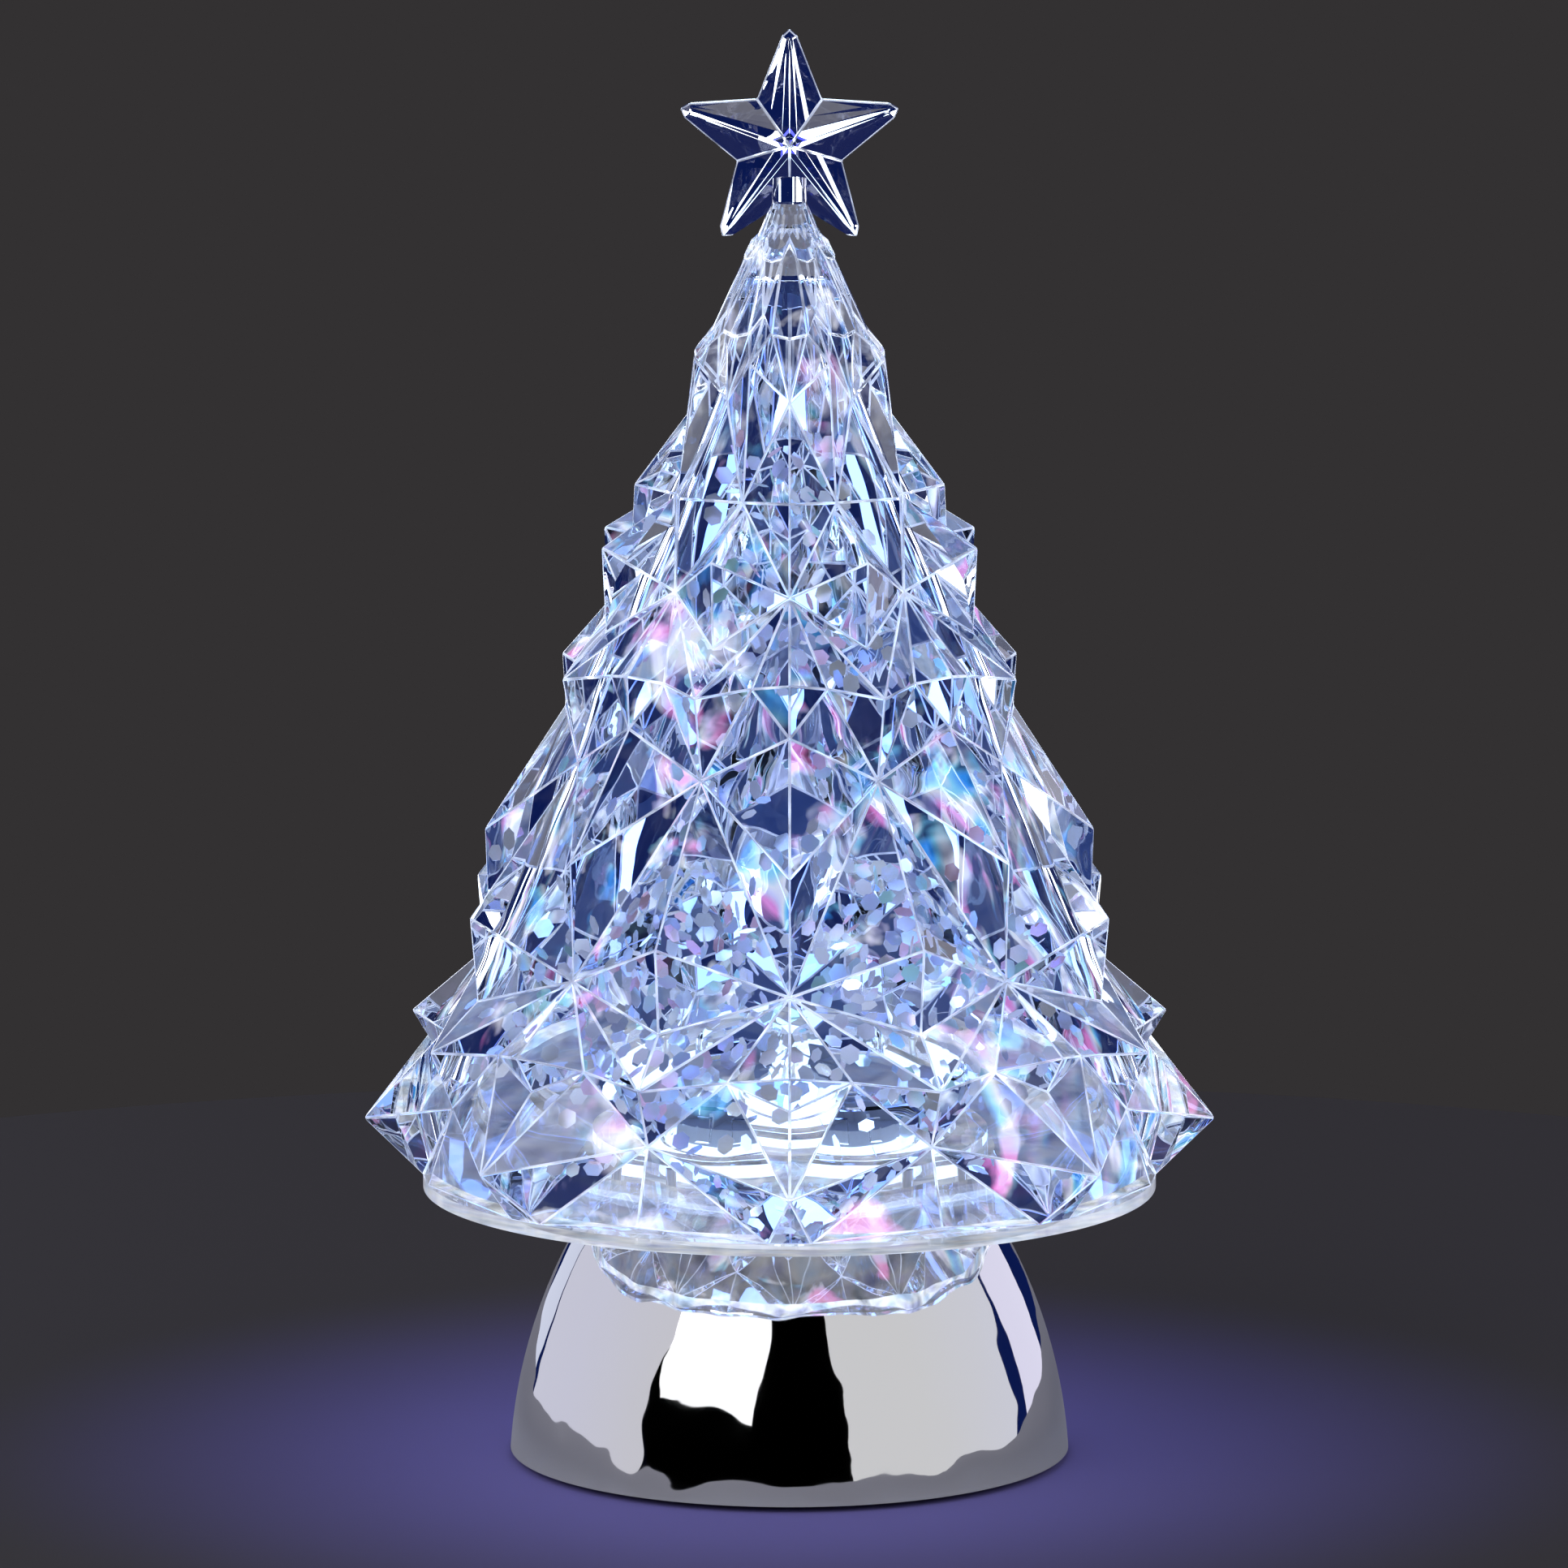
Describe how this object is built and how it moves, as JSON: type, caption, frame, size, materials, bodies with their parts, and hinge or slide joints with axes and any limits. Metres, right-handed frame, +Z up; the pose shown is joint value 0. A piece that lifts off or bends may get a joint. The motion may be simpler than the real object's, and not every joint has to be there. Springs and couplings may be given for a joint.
{
  "type": "lighted tree water lantern",
  "caption": "Faceted clear acrylic tree filled with glitter liquid, with a star on top, standing on a plated dome base that holds the light, the stirring motor and the cells.",
  "frame": {"origin": "middle of the footprint, on the surface the feet stand on", "axes": "+Z up, the star and the front face -Y, +X to the right seen from the front"},
  "size_m": [0.1706, 0.1706, 0.2864],
  "materials": {
    "clear_acrylic": "moulded clear acrylic, polished facets",
    "frosted_acrylic": "frosted acrylic",
    "clear_cage": "clear acrylic",
    "liquid": "clear liquid",
    "plated_plastic": "bright silver plating on plastic",
    "black_plastic": "fine textured",
    "switch_plastic": "satin",
    "white_plastic": "satin white",
    "steel": "plain",
    "screw_steel": "zinc plated",
    "spring_steel": "nickel plated",
    "iron": "laminated iron and copper",
    "ferrite": "sintered ferrite",
    "circuit_board": "glass-fibre board",
    "led_lens": "clear epoxy, cool light",
    "rubber": "matt",
    "cell_jacket": "plain printed jacket",
    "red_sleeve": "sleeve",
    "black_sleeve": "sleeve"
  },
  "bodies": {
    "lantern": {"base_dome": "plated_plastic", "base_plate": "black_plastic", "base_screws": "screw_steel", "battery_cell_1": "cell_jacket", "battery_cell_2": "cell_jacket", "battery_cell_3": "cell_jacket", "battery_lead_black": "black_sleeve", "battery_lead_red": "red_sleeve", "chamber_floor": "clear_acrylic", "contact_plates": "spring_steel", "contact_springs": "spring_steel", "filler_plug": "rubber", "foot_1": "rubber", "foot_2": "rubber", "foot_3": "rubber", "foot_4": "rubber", "impeller_cage": "clear_cage", "impeller_pin": "steel", "led_1": "led_lens", "led_2": "led_lens", "led_3": "led_lens", "led_4": "led_lens", "led_5": "led_lens", "led_6": "led_lens", "led_7": "led_lens", "led_8": "led_lens", "led_board": "circuit_board", "light_tray": "white_plastic", "light_window": "frosted_acrylic", "liquid": "liquid", "motor_can": "steel", "motor_end_cap": "black_plastic", "motor_magnet": "ferrite", "motor_screws": "screw_steel", "star_topper": "clear_acrylic", "switch_body": "steel", "switch_lead_black": "black_sleeve", "switch_lead_red": "red_sleeve", "tray_screws": "screw_steel", "tree_screws": "screw_steel", "tree_shell": "clear_acrylic"},
    "impeller_rotor": {"impeller": "white_plastic", "impeller_magnets": "ferrite"},
    "drive_rotor": {"motor_shaft": "steel", "motor_armature": "iron", "magnet_carrier": "black_plastic", "drive_magnets": "ferrite"},
    "door": {"battery_door": "black_plastic"},
    "knob": {"switch_knob": "switch_plastic"}
  },
  "joints": [
    {"name": "drive_spin", "type": "hinge", "parent": "lantern", "child": "drive_rotor", "pos_m": [0, 0, 0.04], "axis": [0, 0, 1], "continuous": true},
    {"name": "impeller_spin", "type": "hinge", "parent": "lantern", "child": "impeller_rotor", "pos_m": [0, 0, 0.06], "axis": [0, 0, 1], "continuous": true},
    {"name": "battery_door_hinge", "type": "hinge", "parent": "lantern", "child": "door", "pos_m": [-0.03065, 0, 0.00215], "axis": [0, 1, 0], "range_deg": [0, 100]},
    {"name": "switch_slide", "type": "slide", "parent": "lantern", "child": "knob", "axis": [1, 0, 0], "range_m": [0, 0.004]}
  ],
  "couplings": [
    {"joint": "impeller_spin", "follows": "drive_spin", "ratio": 1}
  ]
}
